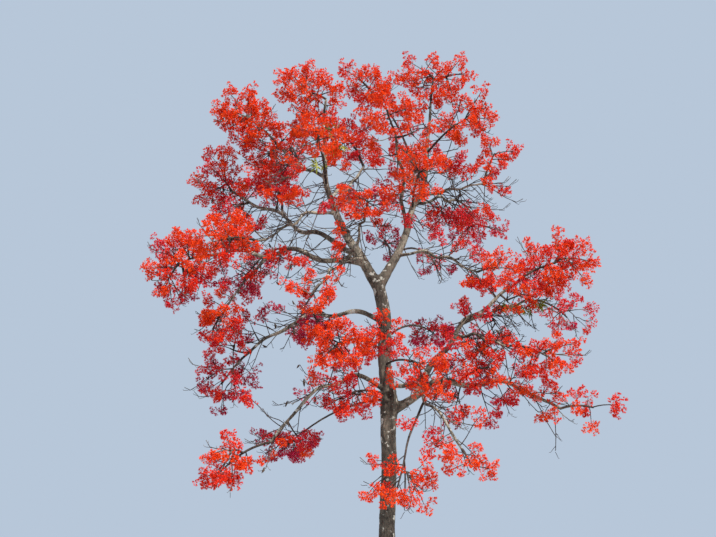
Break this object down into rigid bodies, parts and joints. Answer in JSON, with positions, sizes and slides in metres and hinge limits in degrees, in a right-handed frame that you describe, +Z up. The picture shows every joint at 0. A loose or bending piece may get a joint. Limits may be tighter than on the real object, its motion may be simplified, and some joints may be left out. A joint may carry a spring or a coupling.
{
  "type": "flame tree",
  "caption": "Tall flame tree in full blossom: a forked grey trunk, arching and drooping boughs, no leaves, and an open crown of scarlet blossom clusters on fine twigs.",
  "frame": {"origin": "middle of the flat cut under the trunk, at ground level", "axes": "+Z up the tree, +X to the right and +Y to the back as one stands before it"},
  "size_m": [11.2536, 7.5417, 15.1466],
  "materials": {
    "bark": "rough grey-brown bark with pale lichen patches",
    "blossom_scarlet": "soft matt petals, scarlet",
    "blossom_red": "soft matt petals, deep red",
    "blossom_orange": "soft matt petals, orange red",
    "blossom_crimson": "soft matt petals, crimson"
  },
  "bodies": {
    "root": {"trunk": "bark", "left_leader": "bark", "right_leader": "bark", "low_right_bough": "bark", "rising_right_bough": "bark", "right_middle_bough": "bark", "right_shelf_bough": "bark", "front_right_bough": "bark", "long_left_bough": "bark", "lower_left_bough": "bark", "far_left_bough": "bark", "left_front_bough": "bark", "left_middle_bough": "bark", "upper_left_bough": "bark", "inner_front_bough": "bark", "short_left_bough": "bark", "front_crown_bough": "bark", "back_crown_bough": "bark", "upper_right_bough": "bark", "back_right_bough": "bark", "right_front_bough": "bark", "blossom_low_right": "blossom_scarlet", "blossom_low_right_inner": "blossom_red", "blossom_right_top": "blossom_orange", "blossom_right_middle": "blossom_crimson", "blossom_right_shelf": "blossom_scarlet", "blossom_front_right": "blossom_red", "blossom_front_low": "blossom_orange", "blossom_long_left": "blossom_crimson", "blossom_low_back_left": "blossom_scarlet", "blossom_lower_left": "blossom_red", "blossom_left_fall": "blossom_orange", "blossom_front_left_low": "blossom_crimson", "blossom_hub_left": "blossom_scarlet", "blossom_trunk_front": "blossom_red", "blossom_hub_right": "blossom_orange", "blossom_low_back": "blossom_crimson", "blossom_far_left": "blossom_scarlet", "blossom_left_front": "blossom_red", "blossom_left_back": "blossom_orange", "blossom_left_middle": "blossom_crimson", "blossom_left_inner": "blossom_scarlet", "blossom_left_top": "blossom_red", "blossom_upper_left": "blossom_orange", "blossom_inner_front": "blossom_crimson", "blossom_short_left": "blossom_scarlet", "blossom_right_top_leader": "blossom_red", "blossom_upper_right_front": "blossom_orange", "blossom_front_crown": "blossom_crimson", "blossom_middle_top": "blossom_scarlet", "blossom_back_crown": "blossom_red", "blossom_upper_right": "blossom_orange", "blossom_back_right": "blossom_crimson", "blossom_right_inner": "blossom_scarlet", "blossom_right_front": "blossom_red", "blossom_back_right_low": "blossom_orange", "blossom_back_middle": "blossom_crimson", "blossom_back_left": "blossom_scarlet", "blossom_front_upper_left": "blossom_red", "blossom_front_upper_right": "blossom_orange"}
  },
  "joints": []
}
